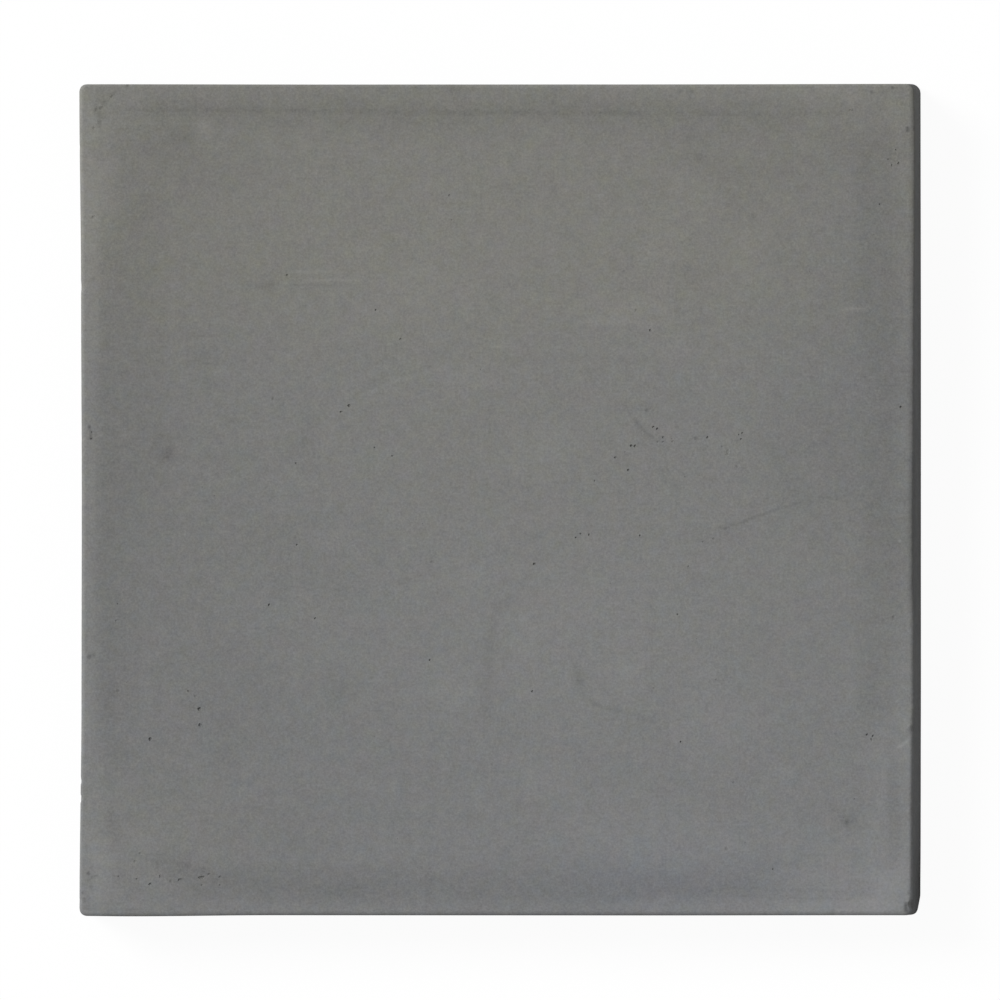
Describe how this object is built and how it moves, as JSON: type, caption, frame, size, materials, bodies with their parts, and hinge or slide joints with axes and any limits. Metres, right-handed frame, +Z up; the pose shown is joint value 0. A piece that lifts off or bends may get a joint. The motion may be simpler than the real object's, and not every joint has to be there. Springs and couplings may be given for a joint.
{
  "type": "concrete wall cap",
  "caption": "Flat square concrete slab that caps a wall or pier, with eased top edges, small rounded corners and a drip groove round the underside.",
  "frame": {"origin": "centre of the bed face, the flat underside that lies on the wall or floor", "axes": "+Z up out of the finished top face; +X and +Y square to the slab's sides"},
  "size_m": [0.61, 0.61, 0.05],
  "materials": {
    "concrete": "matte"
  },
  "bodies": {
    "root": {"cap_slab": "concrete"}
  },
  "joints": []
}
